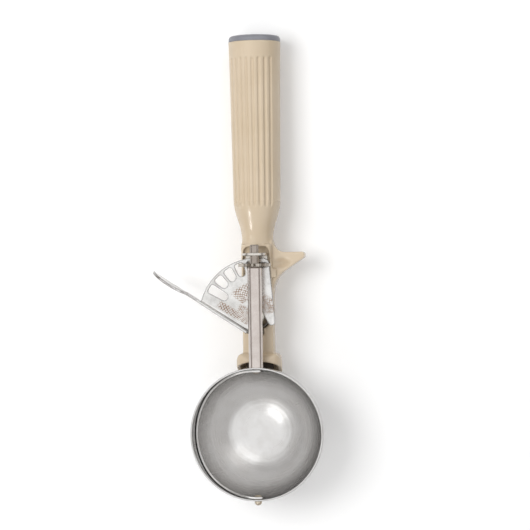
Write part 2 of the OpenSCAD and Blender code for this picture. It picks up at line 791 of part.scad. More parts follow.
// Blade seen square on from the middle of the bowl: parallel sides that draw in to the end tabs
module blade_outline() {
    straight = bowl_inner_r * 0.62;
    side = [for (i = [0:8])
        [straight + (blade_outer_r + 1 - straight) * i / 8,
         blade_tab_r + (blade_w / 2 - blade_tab_r) * (1 - ease(i / 8))]];
    half = concat([[0, blade_w / 2]], side);
    polygon(concat(
        half,
        [for (i = [len(half) - 1:-1:0]) [half[i][0], -half[i][1]]],
        [for (i = [1:len(half) - 1]) [-half[i][0], -half[i][1]]],
        [for (i = [len(half) - 1:-1:1]) [-half[i][0], half[i][1]]]));
}

module scraper_blade() color(bright_steel) placed() difference() {
    intersection() {
        difference() {
            sphere(r = blade_outer_r, $fn = 180);
            sphere(r = blade_inner_r, $fn = 180);
        }
        union() {
            // drawn with its length along x and its middle towards +z, then turned to its rest place
            rotate([0, -90 - blade_rest_angle, 0]) rotate([0, 0, 90])
                linear_extrude(bowl_outer_r) blade_outline();
            rod_y(blade_tab_r, -bowl_outer_r, bowl_outer_r);
        }
    }
    rod_y(shaft_neck_d / 2 + weld_gap, 0, bowl_outer_r);
    rod_y(tip_pin_d / 2 + run_gap, -bowl_outer_r, 0);
}

module blade_washer() color(dark_steel) placed() difference() {
    rod_y(washer_r, blade_seat_y - washer_t, blade_seat_y);
    rod_y(shaft_neck_d / 2 + weld_gap, 0, bowl_outer_r);
}

// ---------------------------------------------------------------- far pole of the bowl

tip_washer_r = tip_pin_d / 2 + 1;

module tip_pin() color(bright_steel) placed() mirror([0, 1, 0]) {
    inner_y = ball_seat(blade_inner_r, tip_head_inner_r) - side_gap;
    rod_y(tip_pin_d / 2, inner_y - eps, bowl_outer_r + eps);
    translate([0, bowl_outer_r, 0]) along_y() dome(tip_head_d / 2, tip_head_h);
    translate([0, inner_y, 0]) rotate([90, 0, 0]) dome(tip_head_inner_r, rivet_head_h);
}

module tip_washer() color(dark_steel) placed() mirror([0, 1, 0]) difference() {
    rod_y(tip_washer_r, blade_outer_r + side_gap / 2, ball_seat(bowl_inner_r, tip_washer_r));
    rod_y(tip_pin_d / 2 + seat_gap, 0, bowl_outer_r);
}

handle();
end_cap();
bowl();
bowl_shank();
shaft_sleeve();
bearing_bracket();
bracket_rivets();
pivot_rivet();
pivot_washer();
back_washer();
tip_pin();
tip_washer();
sector_lever();
lever_bush();
drive_shaft();
pinion();
scraper_blade();
blade_washer();
return_spring();
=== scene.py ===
# %% [markdown]
# # A lever ice cream scoop
#
# This is a kitchen scoop with a moulded grip, a steel bowl and a thumb lever. Pressing the lever turns a
# plate with windows, the windows push the teeth of a small wheel, and the wheel's shaft sweeps a curved
# blade through the bowl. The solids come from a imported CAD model, so nothing here has to be measured again:
# every piece already lies where it belongs. The lesson gives each piece its finish, swaps two pieces for
# better ones, and sets up a small studio.

# %% Load the solids
import math
import bmesh
import bpy
from mathutils import Matrix, Vector
from mathutils.bvhtree import BVHTree


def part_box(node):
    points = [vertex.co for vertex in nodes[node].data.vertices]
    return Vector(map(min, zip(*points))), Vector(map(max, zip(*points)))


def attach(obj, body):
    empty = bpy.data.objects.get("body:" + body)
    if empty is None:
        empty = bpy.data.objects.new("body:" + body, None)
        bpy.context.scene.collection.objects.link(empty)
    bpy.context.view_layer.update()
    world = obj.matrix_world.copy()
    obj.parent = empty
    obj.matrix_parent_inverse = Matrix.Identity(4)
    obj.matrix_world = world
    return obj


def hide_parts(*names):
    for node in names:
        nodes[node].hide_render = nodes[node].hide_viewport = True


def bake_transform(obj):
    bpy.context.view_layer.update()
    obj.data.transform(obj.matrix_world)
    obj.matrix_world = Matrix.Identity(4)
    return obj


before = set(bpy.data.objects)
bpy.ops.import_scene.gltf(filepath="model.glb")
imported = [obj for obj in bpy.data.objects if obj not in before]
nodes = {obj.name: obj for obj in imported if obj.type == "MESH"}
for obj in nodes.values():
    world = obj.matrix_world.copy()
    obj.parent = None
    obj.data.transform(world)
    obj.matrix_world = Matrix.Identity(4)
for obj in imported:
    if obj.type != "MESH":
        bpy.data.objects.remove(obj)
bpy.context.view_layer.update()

# %% [markdown]
# ## Measures
#
# The scene is in metres and a kitchen tool is made in millimetres, so one number turns the one into the
# other. The axes that patterns turn about are read from the boxes of the solids that lie on them: the drive
# shaft gives the axis of the bowl and the tube, the pivot rivet gives the axis of the lever. Reading them
# keeps the finishes in place when the model changes.

# %% Axes of the bowl, the shaft and the lever
MM = 0.001


def middle(node):
    low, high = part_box(node)
    return (low + high) / 2


shaft_axis = middle("drive_shaft")
bowl_low, bowl_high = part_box("bowl")
bowl_radius = (bowl_high.x - bowl_low.x) / 2
bowl_centre = Vector((shaft_axis.x, (bowl_low.y + bowl_high.y) / 2, shaft_axis.z))
pivot = middle("pivot_rivet")
print("bowl", round(2 * bowl_radius / MM, 1), "mm across, pivot",
      round((pivot.y - bowl_centre.y) / MM, 1), "mm up the handle")

# %% [markdown]
# ## Colours and nodes
#
# Colours are written as the hex values a paint or plastic chart gives. Those are sRGB, and a shader wants
# linear light, so one function converts them. A second small function adds any node to any tree. Settings
# go by their names. Values fill the node's open inputs in order, or by name where they come in a dict, and
# each is a plain value, a socket, or another node, which then gives its first open output. With it a tree
# reads from top to bottom like a recipe.


# %% Two helpers
def linear(hex_colour):
    parts = [int(hex_colour[i:i + 2], 16) / 255 for i in (1, 3, 5)]
    return tuple([p / 12.92 if p <= 0.04045 else ((p + 0.055) / 1.055) ** 2.4 for p in parts] + [1.0])


def add(tree, kind, *values, **settings):
    node = tree.nodes.new(kind)
    for key, value in settings.items():
        setattr(node, key, value)
    if values and isinstance(values[0], dict):
        pairs = [(node.inputs[key], value) for key, value in values[0].items()]
    else:
        pairs = list(zip([socket for socket in node.inputs if socket.enabled], values))
    for socket, value in pairs:
        if isinstance(value, bpy.types.Node):
            value = next(output for output in value.outputs if output.enabled)
        if isinstance(value, bpy.types.NodeSocket):
            tree.links.new(value, socket)
        else:
            socket.default_value = value
    return node


print("#808080 is", round(linear("#808080")[0], 3), "in linear light")

# %% [markdown]
# ## A start for every finish
#
# Every finish here starts from the same shader with its fixed numbers set on its own sockets, because a
# number that is the same all over should stay a plain number. Object coordinates are the place of a point
# on the real piece, in metres, so a pattern keeps its size whatever the piece is. `place` moves them so that
# a pattern can turn about an axis of the tool, and `polar` turns them into the distance from such an axis,
# the angle round it and the height along it. `per_mm` is the noise scale whose features are that wide.


# %% Start of a finish
def start_finish(name, roughness, metallic=0.0):
    finish = bpy.data.materials.new(name)
    finish.use_nodes = True
    tree = finish.node_tree
    shader = tree.nodes["Principled BSDF"]
    shader.inputs["Metallic"].default_value = metallic
    shader.inputs["Roughness"].default_value = roughness
    return finish, tree, shader


def place(tree, at=(0, 0, 0), stretch=(1, 1, 1)):
    spot = add(tree, "ShaderNodeTexCoord").outputs["Object"]
    moved = add(tree, "ShaderNodeVectorMath", spot, tuple(at), operation="SUBTRACT")
    return add(tree, "ShaderNodeVectorMath", moved, stretch, operation="MULTIPLY")


def polar(tree, at):
    x, y, z = add(tree, "ShaderNodeSeparateXYZ", place(tree, at)).outputs
    flat = add(tree, "ShaderNodeCombineXYZ", x, y)
    return (add(tree, "ShaderNodeVectorMath", flat, operation="LENGTH"),
            add(tree, "ShaderNodeMath", y, x, operation="ARCTAN2"), z)


def per_mm(size):
    return 1 / (size * MM)


print("features 1 mm wide need a noise scale of", round(per_mm(1)))

# %% [markdown]
# ## Moulded plastic
#
# The handle is polypropylene, injection moulded in one piece. Such a moulding has an even, slightly waxy
# colour with faint clouds where the melt flowed, a fine spark-eroded grain from the mould, and a sheen that
# is a little glossier where hands have rubbed it. The grain is about 0.2 mm in reality; it is drawn at
# 0.5 mm so that it still shows. The mould is blasted where the hand grips and polished below it, so the
# neck shines more than the grip. The rubbed places are found with Pointiness, which is high on the ridges
# between the flutes and low in their bottoms and other hollows; there the colour is painted darker, as
# shade. The end cap is the same plastic, coloured grey and a little duller.


# %% Colour of moulded polypropylene
cloud_width, patch_width, grain_width, grain_depth = 16, 5, 0.5, 0.02  # millimetres
grip_foot = 30 * MM    # along the handle, where the polished neck ends and the blasted grip begins
blast_fade = 6 * MM    # the way on which the blasting comes in
neck_share = 0.45      # roughness and grain of the polished neck, as a share of the grip's


def moulded_colour(tree, spot, patchy, colour, cloud, rub, hollow_shade):
    """The colour with its wear and with painted shade in the hollows, and how much each place is rubbed.
    Pointiness is 0.5 on a flat face.
    """
    clouds = add(tree, "ShaderNodeTexNoise", {"Vector": spot, "Scale": per_mm(cloud_width), "Detail": 3.0})
    cloudy = add(tree, "ShaderNodeMapRange", clouds, 0.35, 0.7)
    tint = add(tree, "ShaderNodeMix", cloudy, linear(colour), linear(cloud), data_type="RGBA")
    point = add(tree, "ShaderNodeNewGeometry").outputs["Pointiness"]
    ridge = add(tree, "ShaderNodeMapRange", point, 0.505, 0.56)
    # Where Pointiness is low, in the flute bottoms and other hollows, the colour is painted darker as shade.
    groove = add(tree, "ShaderNodeMapRange", point, 0.49, 0.42, 0.0, 0.4)
    rubbed = add(tree, "ShaderNodeMath", ridge, patchy, operation="MULTIPLY")
    worn = add(tree, "ShaderNodeMix", rubbed, tint, linear(rub), data_type="RGBA")
    return add(tree, "ShaderNodeMix", groove, worn, linear(hollow_shade), data_type="RGBA"), rubbed


print("the grip's grain is drawn at", grain_width, "mm")


# %% Finish: moulded polypropylene
def moulded_plastic(name, colour, cloud, rub, hollow_shade, roughness):
    finish, tree, shader = start_finish(name, roughness)
    spot = place(tree)
    patchy = add(tree, "ShaderNodeTexNoise", {"Vector": spot, "Scale": per_mm(patch_width), "Detail": 4.0})
    worn_and_shaded, rubbed = moulded_colour(tree, spot, patchy, colour, cloud, rub, hollow_shade)
    tree.links.new(worn_and_shaded.outputs[2], shader.inputs["Base Color"])
    along_handle = add(tree, "ShaderNodeSeparateXYZ", spot).outputs[1]
    blasted = add(tree, "ShaderNodeMapRange", along_handle, grip_foot, grip_foot + blast_fade)
    mirror = add(tree, "ShaderNodeMapRange", blasted, 0.0, 1.0, neck_share, 1.0)
    sheen = add(tree, "ShaderNodeMath", patchy, 0.16, roughness - 0.08, operation="MULTIPLY_ADD")
    gloss = add(tree, "ShaderNodeMath", rubbed, -0.12, sheen, operation="MULTIPLY_ADD")
    shiny = add(tree, "ShaderNodeMath", gloss, mirror, operation="MULTIPLY")
    tree.links.new(shiny.outputs[0], shader.inputs["Roughness"])
    grains = add(tree, "ShaderNodeTexNoise", {"Vector": spot, "Scale": per_mm(grain_width), "Detail": 2.0})
    flatter = add(tree, "ShaderNodeMath", grains, mirror, operation="MULTIPLY")
    bump = add(tree, "ShaderNodeBump", {"Height": flatter, "Strength": 0.35, "Distance": grain_depth * MM})
    tree.links.new(bump.outputs[0], shader.inputs["Normal"])
    return finish


# The fourth colour of each plastic is the painted shade in its hollows.
cream_plastic = moulded_plastic("cream_polypropylene_moulded", "#CBBAA2", "#C6B49A", "#D5C6AF", "#A8967C",
                                roughness=0.33)
grey_plastic = moulded_plastic("grey_polypropylene_moulded", "#7D7E84", "#76777E", "#8B8C92", "#626268",
                               roughness=0.42)
print("plastics", cream_plastic.name, "and", grey_plastic.name)

# %% [markdown]
# ## Steel
#
# All the metal is stainless steel, and what tells one piece from the next is how its surface was made. A
# brushed or turned surface is a field of fine grooves: long in one direction and very narrow across it.
# Noise that is squeezed in one direction makes them. Real grooves are a few hundredths of a millimetre
# wide, which no picture can show, so they are drawn at 0.15 to 0.5 mm. The Bevel node rounds the cut edges
# for the light by 0.1 to 0.8 mm, which gives sheet metal its thin line along the edge without any change to
# the solids. Where its normal turns away from the face's own, the edge is near, and there the colour of the
# cut comes in: dark on blanked sheet, bright where it was ground. That colour also paints light: the dark
# line is partly painted shade and dark reflection along the edge, and the bright one partly a painted
# highlight.


# %% Colour and relief of worked steel
smudge_width, scuff_spacing = 7, 2.2  # millimetres: greasy smudges, and the net of hairline scratches
# Between these the cut's colour comes in, and with it the painted shade, dark reflection and highlight of the
# edge.
near_edge = (0.97, 0.92)              # cosines of the bevel's turn between which the cut's colour comes in


def steel_colour(tree, smudge, rounded, colour, stain, cut_and_painted_edge_colour, cut_and_painted_edge_share):
    """Bare and stained steel in patches, and near the edge, where the rounded normal turns away, the colour
    of the cut, which also paints the edge's shade as a dark line and a highlight as a bright one.
    """
    stained = add(tree, "ShaderNodeMapRange", smudge, 0.4, 0.75)
    tint = add(tree, "ShaderNodeMix", stained, linear(colour), linear(stain), data_type="RGBA")
    face = add(tree, "ShaderNodeNewGeometry").outputs["True Normal"]
    same = add(tree, "ShaderNodeVectorMath", rounded, face, operation="DOT_PRODUCT")
    # Near the edge the cut's colour comes in: partly the cut's own colour, partly painted shade and
    # highlight.
    cut = add(tree, "ShaderNodeMapRange", same, *near_edge, 0.0, cut_and_painted_edge_share)
    return add(tree, "ShaderNodeMix", cut, tint, linear(cut_and_painted_edge_colour), data_type="RGBA")


def steel_relief(tree, height, rounded, depth, scratches, swell):
    """The marks of the tool on the rounded edge, then broad waves, then a net of hairline scratches."""
    bump = add(tree, "ShaderNodeBump", {"Height": height, "Strength": 0.5, "Distance": depth * MM,
                                        "Normal": rounded})
    if swell:
        waves, wave_height = swell
        bump = add(tree, "ShaderNodeBump", {"Height": waves(tree), "Strength": 1.0,
                                            "Distance": wave_height * MM, "Normal": bump})
    if scratches:
        scuffs = add(tree, "ShaderNodeTexVoronoi", {"Vector": place(tree, stretch=(1.0, 0.23, 0.6)),
                                                    "Scale": per_mm(scuff_spacing)},
                     feature="DISTANCE_TO_EDGE")
        fine = add(tree, "ShaderNodeMapRange", scuffs, 0.0, 0.02)
        bump = add(tree, "ShaderNodeBump", {"Height": fine, "Strength": 0.08, "Distance": depth * MM,
                                            "Normal": bump})
    return bump


# %% Finish: worked steel
def groove_steel(name, colour, stain, roughness, spread, grooves, edge=0.12, depth=0.004, scratches=True,
                 cut_and_painted_edge_colour="#5E5A54", cut_and_painted_edge_share=0.0, swell=None):
    """grooves(tree) gives the height of the surface marks; spread is how far they change the roughness.

    edge and depth are the width of the rounded edge and the depth of the marks, in millimetres.
    swell is a second such function for broad waves, with the height of the waves in millimetres.
    """
    finish, tree, shader = start_finish(name, roughness, metallic=1.0)
    height = grooves(tree)
    smudge = add(tree, "ShaderNodeTexNoise", {"Vector": place(tree), "Scale": per_mm(smudge_width),
                                              "Detail": 5.0, "Roughness": 0.6})
    rounded = add(tree, "ShaderNodeBevel", edge * MM, samples=4)
    shown = steel_colour(tree, smudge, rounded, colour, stain, cut_and_painted_edge_colour, cut_and_painted_edge_share)
    tree.links.new(shown.outputs[2], shader.inputs["Base Color"])
    uneven = add(tree, "ShaderNodeMath", height, spread, roughness - spread / 2, operation="MULTIPLY_ADD")
    touched = add(tree, "ShaderNodeMath", smudge, spread * 0.8, uneven, operation="MULTIPLY_ADD")
    tree.links.new(touched.outputs[0], shader.inputs["Roughness"])
    bump = steel_relief(tree, height, rounded, depth, scratches, swell)
    tree.links.new(bump.outputs[0], shader.inputs["Normal"])
    return finish


# %% [markdown]
# ## Straight and round grooves
#
# Two functions give the marks. Each returns a function that builds its nodes in the tree of the finish that
# asks for them, so that one recipe serves every steel.


# %% Grooves from brushing and turning
def brushed_along(width, length, direction):
    """Straight grooves, sizes in mm: direction is the angle of the brushing in the x-y plane, in degrees."""
    def grooves(tree):
        turned = add(tree, "ShaderNodeVectorRotate",
                     {"Vector": place(tree), "Angle": math.radians(-direction)}, rotation_type="Z_AXIS")
        squeezed = add(tree, "ShaderNodeVectorMath", turned, (1 / length, 1 / width, 1 / width),
                       operation="MULTIPLY")
        return add(tree, "ShaderNodeTexNoise", {"Vector": squeezed, "Scale": 1 / MM, "Detail": 3.0})
    return grooves


def turned_about(centre, axis, pitch, along=False):
    """Rings round an axis, pitch in mm: with along they follow one another along it, otherwise outwards."""
    def grooves(tree):
        spot = place(tree, at=centre)
        if along:
            reach = add(tree, "ShaderNodeSeparateXYZ", spot).outputs["XYZ".index(axis)]
        else:
            flat = add(tree, "ShaderNodeVectorMath", spot,
                       tuple(0.0 if letter == axis else 1.0 for letter in "XYZ"), operation="MULTIPLY")
            reach = add(tree, "ShaderNodeVectorMath", flat, operation="LENGTH")
        return add(tree, "ShaderNodeTexNoise", {"W": reach, "Scale": per_mm(pitch), "Detail": 2.0},
                   noise_dimensions="1D")
    return grooves


# %% [markdown]
# ## The steels of this tool
#
# - The bowl is drawn from sheet and finished while it spins, so its grooves are rings about its own axis.
#   The roller also leaves broad, very shallow waves, which show as rings in whatever the bowl reflects.
#   The dark colour of its cut rim is partly painted shade and dark reflection.
#   The blade is bent from the same sheet and polished with it, and its edges are ground bright; that
#   near-white edge is partly a painted highlight.
# - The tube and the shaft are polished on a lathe: rings that follow one another along the shaft. The
#   shaft's darker colour and dark cut edges are partly painted shade.
# - Strip parts keep the lines of the rolling mill, which run with the strip. The strip that is welded to the
#   bowl is coloured nearly black, as painted shade of the collar's pocket that holds it.
# - Rivets are turned and their heads peened, so their rings spread from their own middle.
# - The toothed wheel is milled and darker, and the spring is drawn wire, dark from its own drawing soap.

# %% Steel finishes
# The rim's dark cut colour is partly painted shade and dark reflection.
bowl_steel = groove_steel("spun_stainless_bowl", "#D2D1D0", "#CAC8C6", 0.22, 0.08,
                          turned_about(bowl_centre, "Z", 0.35, along=True), depth=0.006, edge=0.5,
                          cut_and_painted_edge_colour="#3E3A36", cut_and_painted_edge_share=0.9,
                          swell=(turned_about(bowl_centre, "Z", 8.0), 0.22))
# Its near-white cut colour is partly a painted highlight along the top edge.
blade_steel = groove_steel("ground_stainless_blade", "#D2D1D0", "#CAC8C6", 0.22, 0.08,
                           turned_about(bowl_centre, "Y", 0.35, along=True), depth=0.006, edge=0.15,
                           cut_and_painted_edge_colour="#F8F7F5", cut_and_painted_edge_share=1.0)
tube_steel = groove_steel("polished_stainless_tube", "#C8C0BB", "#BAB1AB", 0.14, 0.06,
                          turned_about(shaft_axis, "Y", 0.3, along=True), depth=0.002)
# Its darker colour and dark cut colour are partly painted shade.
shaft_steel = groove_steel("ground_stainless_shaft", "#A39A92", "#8A8178", 0.20, 0.08,
                           turned_about(shaft_axis, "Y", 0.3, along=True), edge=0.4, depth=0.003,
                           cut_and_painted_edge_colour="#3A3530", cut_and_painted_edge_share=0.9)
# Its dark cut colour is partly painted shade along the edges.
strip_steel = groove_steel("rolled_stainless_strip", "#D2CEC8", "#C2BCB3", 0.20, 0.10,
                           brushed_along(0.2, 6.0, 90), edge=0.4, cut_and_painted_edge_colour="#4A443E", cut_and_painted_edge_share=0.9)
# Nearly black: painted shade of the collar's pocket, where this strip lies.
pocket_shade_steel = groove_steel("strip_painted_pocket_shade", "#4E4842", "#3A342E", 0.45, 0.12,
                          brushed_along(0.2, 6.0, 90))
pin_steel = groove_steel("peened_stainless_pin", "#CBC6BC", "#A8977C", 0.22, 0.08,
                         turned_about(Vector((shaft_axis.x, 0, shaft_axis.z)), "Y", 0.2))
rivet_steel = groove_steel("turned_stainless_rivet", "#CBC7C0", "#B9B1A4", 0.24, 0.08,
                           turned_about(pivot, "Z", 0.25))
# Its dark cut colour is partly painted shade along the edges.
washer_steel = groove_steel("stamped_stainless_washer", "#A39D94", "#857C70", 0.38, 0.12,
                            brushed_along(0.25, 2.0, 35), cut_and_painted_edge_share=0.6)
# Its dark cut colour is partly painted shade along the edges.
wheel_steel = groove_steel("milled_dark_steel", "#B9B2A9", "#7E756B", 0.20, 0.12,
                           brushed_along(0.2, 3.0, 0), edge=0.35, cut_and_painted_edge_colour="#2E2925", cut_and_painted_edge_share=0.9)
print("the bowl's finish has", len(bowl_steel.node_tree.nodes), "nodes")

# %% [markdown]
# ## Drawn spring wire
#
# Wire is pulled through a die, so its marks run along it, round every turn of the coil. In the frame of the
# pivot that direction is the angle about the axis, and across the wire it is the distance from the axis and
# the height. Noise that reads distance and height but hardly the angle gives lines that follow the coil.


# %% Finish: drawn wire
die_mark, change_per_radian = 0.2, 0.3  # millimetres: width of the marks, and how slowly they change


def drawn_along_coil(tree):
    reach, angle, height = polar(tree, pivot)
    slow = add(tree, "ShaderNodeMath", angle, change_per_radian * MM, operation="MULTIPLY")
    lines = add(tree, "ShaderNodeCombineXYZ", reach, slow, height)
    return add(tree, "ShaderNodeTexNoise", {"Vector": lines, "Scale": per_mm(die_mark), "Detail": 2.0})


wire_steel = groove_steel("drawn_spring_wire", "#8E8982", "#6C665F", 0.30, 0.10, drawn_along_coil,
                          scratches=False)
print("the wire's die marks are drawn at", die_mark, "mm")

# %% [markdown]
# ## The sector plate
#
# The lever is one stamping of bright brushed sheet. Its plate carries a light etching, which on this tool
# is a plain engine-turned net: two families of fine waves about the pivot that cross in small lozenges,
# brown where the etching has taken up some grease. It is worked out in polar coordinates, so the lozenges
# grow outwards like the plate itself. It lies in four fields. Two lie between two distances from the pivot
# and two angles, and two run beside the bent flange: a second pair of coordinates, turned with the flange,
# gives the way along it and off it. A noise lets the etching wear away in patches. Real etched lines are
# 0.3 mm wide; these are drawn at about half a millimetre. The arm beyond the plate is touched with every
# scoop and carries darker streaks along its length: partly grease, partly a painted darker reflection.

# %% The etched net
net_pitch, net_spokes = 1.5, 54  # millimetres between rings, and waves in a full turn
line_share = (0.25, 0.7)         # heights of a wave between which its line comes in


def etched_net(tree, reach, angle):
    """1 on a line of the net and 0 between its lines."""
    rings = add(tree, "ShaderNodeMath", reach, 2 * math.pi / (net_pitch * MM), operation="MULTIPLY")
    waves = []
    for way in (-1, 1):
        slanted = add(tree, "ShaderNodeMath", angle, way * net_spokes, rings, operation="MULTIPLY_ADD")
        waves.append(add(tree, "ShaderNodeMath", slanted, operation="SINE"))
    crest = add(tree, "ShaderNodeMath", *waves, operation="MAXIMUM")
    return add(tree, "ShaderNodeMapRange", crest, *line_share)


print("the net's rings are", net_pitch, "mm apart")


# %% Where the net lies
flange_turn = 149  # degrees, the direction of the bent flange
etched_fields = (  # millimetres, and degrees for the angle
    {"reach": (9.0, 17.5), "angle": (100, 141)},
    {"reach": (4.5, 12.0), "angle": (10, 75)},
    {"along": (9.0, 20.5), "off": (2.2, 6.8)},
    {"along": (-2.0, 11.0), "off": (-1.5, 6.8)},
)
field_fade = {"reach": 0.8, "angle": 4, "along": 1.5, "off": 0.6}


def inside_fields(tree, reach, angle):
    """1 in the fields on the plate's flat top and 0 outside them, fading at their borders."""
    turned = add(tree, "ShaderNodeVectorRotate",
                 {"Vector": place(tree, pivot), "Angle": math.radians(-flange_turn)}, rotation_type="Z_AXIS")
    along, off, _ = add(tree, "ShaderNodeSeparateXYZ", turned).outputs
    measures = {"reach": (reach, MM), "angle": (angle, math.radians(1)), "along": (along, MM),
                "off": (off, MM)}
    face = add(tree, "ShaderNodeSeparateXYZ", add(tree, "ShaderNodeNewGeometry").outputs["True Normal"])
    flat_top = add(tree, "ShaderNodeMapRange", face.outputs[2], 0.97, 0.99)
    covered = 0.0
    for limits in etched_fields:
        field = flat_top
        for measure, (low, high) in limits.items():
            value, unit = measures[measure]
            fade = field_fade[measure]
            for start, stop in ((low, low + fade), (high, high - fade)):
                ramp = add(tree, "ShaderNodeMapRange", value, start * unit, stop * unit)
                field = add(tree, "ShaderNodeMath", field, ramp, operation="MULTIPLY")
        covered = add(tree, "ShaderNodeMath", covered, field, operation="MAXIMUM")
    return covered


# %% Finish: brushed and etched sheet
sheet_brushing = 147                   # degrees, the direction of the brushing
wear_width = 1.5                       # millimetres, the patches in which the etching has worn away
arm_start, arm_all = 29 * MM, 32 * MM  # from the pivot: where the handled arm begins


def etched_sheet(name):
    # The near-black cut colour outlines every edge and window: partly painted shade and dark reflection.
    finish = groove_steel(name, "#DCDBD9", "#BCBAB7", 0.20, 0.12, brushed_along(0.15, 10.0, sheet_brushing),
                          edge=0.75, cut_and_painted_edge_colour="#2C2825", cut_and_painted_edge_share=1.0)
    tree = finish.node_tree
    shader = tree.nodes["Principled BSDF"]
    plain = shader.inputs["Base Color"].links[0].from_socket
    smooth = shader.inputs["Roughness"].links[0].from_socket
    reach, angle, _ = polar(tree, pivot)
    patches = add(tree, "ShaderNodeTexNoise", {"Vector": place(tree), "Scale": per_mm(wear_width),
                                               "Detail": 4.0})
    kept = add(tree, "ShaderNodeMapRange", patches, 0.3, 0.55)
    worn = add(tree, "ShaderNodeMath", inside_fields(tree, reach, angle), kept, operation="MULTIPLY")
    etched = add(tree, "ShaderNodeMath", etched_net(tree, reach, angle), worn, operation="MULTIPLY")
    share = add(tree, "ShaderNodeMath", etched, 0.9, operation="MULTIPLY")
    brown = add(tree, "ShaderNodeMix", share, plain, linear("#8A674A"), data_type="RGBA")
    # The darker streaks on the arm are partly grease and partly a painted darker reflection.
    handled = add(tree, "ShaderNodeMapRange", reach, arm_start, arm_all, 0.0, 0.85)
    streaks = add(tree, "ShaderNodeMapRange", brushed_along(0.5, 14.0, flange_turn)(tree), 0.5, 0.62)
    grease_and_painted_reflection = add(tree, "ShaderNodeMath", handled, streaks, operation="MULTIPLY")
    colour = add(tree, "ShaderNodeMix", grease_and_painted_reflection, brown.outputs[2], linear("#6E6963"), data_type="RGBA")
    tree.links.new(colour.outputs[2], shader.inputs["Base Color"])
    dull = add(tree, "ShaderNodeMath", etched, 0.25, smooth, operation="MULTIPLY_ADD")
    tree.links.new(dull.outputs[0], shader.inputs["Roughness"])
    return finish


lever_steel = etched_sheet("brushed_etched_lever_sheet")
print("etched in", len(etched_fields), "fields")

# %% [markdown]
# ## Dressing the solids
#
# Most solids already have the right shape, so they only get their finish. A table of piece and finish is
# easier to check than a long list of calls.

# %% Finishes on the solids
worn_by = {
    "handle": cream_plastic, "end_cap": grey_plastic, "bowl": bowl_steel, "bowl_shank": pocket_shade_steel,
    "shaft_sleeve": tube_steel, "bearing_bracket": strip_steel, "bracket_rivets": rivet_steel,
    "pivot_rivet": rivet_steel, "pivot_washer": washer_steel, "back_washer": washer_steel,
    "tip_pin": pin_steel, "tip_washer": washer_steel, "sector_lever": lever_steel,
    "lever_bush": washer_steel, "drive_shaft": shaft_steel, "pinion": wheel_steel,
    "scraper_blade": blade_steel, "blade_washer": washer_steel, "return_spring": wire_steel,
}
for node, finish in worn_by.items():
    solid = nodes[node]
    solid.data.materials.clear()
    solid.data.materials.append(finish)
print(len(worn_by), "solids dressed,", len(set(worn_by.values())), "finishes")

# %% [markdown]
# ## The handle's moulded skin
#
# A mould has no sharp edges: the tool that cut it was round, and plastic needs radii to flow. The solid
# handle has crisp edges, so its skin is remeshed on a fine grid and smoothed a little, which rounds every
# edge and fills every inner corner by about half a millimetre, as a moulding's blends do. A bevel modifier
# would need clean edge loops, which a cut solid doesn't have.
#
# Nearly every line of the handle runs along it, so the copy is squeezed along its length while the grid is
# laid over it: the cells come out twice as long as wide, and the flutes get more of them across. The flutes
# of the grip are crisp on the real moulding, so their points are then put back on the solid's surface. The
# finger hook has a shallow hollow in its face, where the moulding is cored so that it cools evenly. It is
# pressed into the skin as a smooth oval dip.


# %% Helpers for a new skin
def merged_copy(node, name):
    """A copy of a solid's mesh whose loose triangles are joined at their corners."""
    mesh = nodes[node].data.copy()
    work = bmesh.new()
    work.from_mesh(mesh)
    bmesh.ops.remove_doubles(work, verts=work.verts, dist=0.001 * MM)
    work.to_mesh(mesh)
    work.free()
    piece = bpy.data.objects.new(name, mesh)
    bpy.context.scene.collection.objects.link(piece)
    return piece


def settle(piece):
    """Turns what the modifiers make of a piece into its plain mesh and takes them off."""
    bpy.context.view_layer.update()
    shown = piece.evaluated_get(bpy.context.evaluated_depsgraph_get())
    mesh = bpy.data.meshes.new_from_object(shown)
    piece.modifiers.clear()
    piece.data = mesh


# %% Remesh and smooth
grid_cell = 0.345 * MM  # across the handle; along it the cells are twice as long
squeeze = Matrix.Diagonal((1, 0.5, 1, 1))
handle_skin = merged_copy("handle", "handle_skin")
handle_surface = BVHTree.FromPolygons([v.co for v in handle_skin.data.vertices],
                                      [p.vertices for p in handle_skin.data.polygons])
handle_skin.data.transform(squeeze)
grid = handle_skin.modifiers.new("grid", "REMESH")
grid.mode = "VOXEL"
grid.voxel_size = grid_cell
blends = handle_skin.modifiers.new("blends", "SMOOTH")
blends.factor = 0.5
blends.iterations = 6
settle(handle_skin)
handle_skin.data.transform(squeeze.inverted())
print("skin remeshed,", len(handle_skin.data.vertices), "points")

# %% Crisp flutes and a hollow hook
crisp_fade = 3 * MM  # the way on which the grip's points go back to the solid's surface
for point in handle_skin.data.vertices:
    share = min(max((point.co.y - grip_foot) / crisp_fade, 0), 1)
    if share:
        point.co = point.co.lerp(handle_surface.find_nearest(point.co)[0], share)

hollow = Vector((21.8, 3.2)) * MM
hollow_long, hollow_wide, hollow_depth = 6.0 * MM, 3.6 * MM, 2.6 * MM
hook_middle = 20 * MM  # only points above this height lie on the hook's face
pressed = 0
for point in handle_skin.data.vertices:
    if point.co.z > hook_middle:
        away = Vector(((point.co.x - hollow.x) / hollow_long, (point.co.y - hollow.y) / hollow_wide)).length
        if away < 1:
            point.co.z -= hollow_depth * (0.5 + 0.5 * math.cos(math.pi * away))
            pressed += 1
print(pressed, "points pressed into the hook's hollow")

# %% The skin stands for the handle
handle_skin.data.materials.clear()
handle_skin.data.materials.append(cream_plastic)
handle_skin.data.shade_smooth()
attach(handle_skin, "root")
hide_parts("handle")
print("handle skin", len(handle_skin.data.polygons), "faces")

